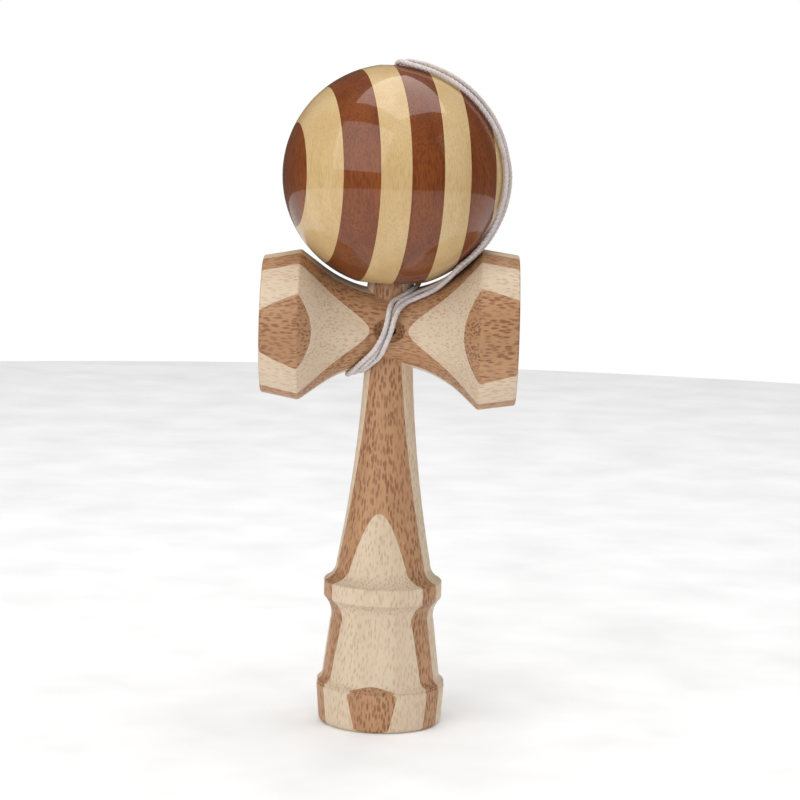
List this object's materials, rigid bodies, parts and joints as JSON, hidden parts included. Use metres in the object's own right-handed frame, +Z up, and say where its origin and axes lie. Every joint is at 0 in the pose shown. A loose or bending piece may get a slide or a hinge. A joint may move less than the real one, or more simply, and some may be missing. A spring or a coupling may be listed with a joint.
{
  "type": "kendama",
  "caption": "Wooden skill toy: a turned handle with a spike, a cross piece with cups, and a bored ball tied on by a cord that stands on the spike.",
  "frame": {"origin": "middle of the base rim, where the handle stands", "axes": "+Z up the handle and the spike, +X along the cross piece towards the big cup, +Y towards the back"},
  "size_m": [0.0692, 0.06, 0.1819],
  "materials": {
    "light_bamboo": "satin",
    "dark_bamboo": "satin",
    "ball_light": "gloss lacquer",
    "ball_dark": "gloss lacquer",
    "peg_wood": "satin",
    "cord": "twisted cord"
  },
  "bodies": {
    "handle": {"handle_core": "light_bamboo", "handle_inner_front": "dark_bamboo", "handle_inner_back": "dark_bamboo", "handle_outer_front": "light_bamboo", "handle_outer_back": "light_bamboo", "handle_face_front": "dark_bamboo", "handle_face_back": "dark_bamboo", "collar_peg": "peg_wood", "cross_core_small": "light_bamboo", "cross_core_big": "light_bamboo", "cross_inner_front": "dark_bamboo", "cross_inner_back": "dark_bamboo", "small_cup_outer_front": "light_bamboo", "small_cup_outer_back": "light_bamboo", "big_cup_outer_front": "light_bamboo", "big_cup_outer_back": "light_bamboo", "small_cup_face_front": "dark_bamboo", "small_cup_face_back": "dark_bamboo", "big_cup_face_front": "dark_bamboo", "big_cup_face_back": "dark_bamboo", "cord_knot": "cord", "cord_long_wrap": "cord", "cord_short_wrap": "cord"},
    "cord_top": {"cord_toggle": "light_bamboo", "cord_over_ball": "cord"},
    "ball": {"ball_board_1": "ball_dark", "ball_board_2": "ball_light", "ball_board_3": "ball_dark", "ball_board_4": "ball_light", "ball_board_5": "ball_dark", "ball_board_6": "ball_light", "ball_board_7": "ball_dark", "ball_board_8": "ball_light"}
  },
  "joints": [
    {"name": "ball_lift", "type": "slide", "parent": "handle", "child": "cord_top", "axis": [0, 0, 1], "range_m": [0, 0.045]},
    {"name": "ball_spin", "type": "hinge", "parent": "cord_top", "child": "ball", "pos_m": [0, 0, 0.15039], "axis": [0, 0, 1], "continuous": true}
  ]
}
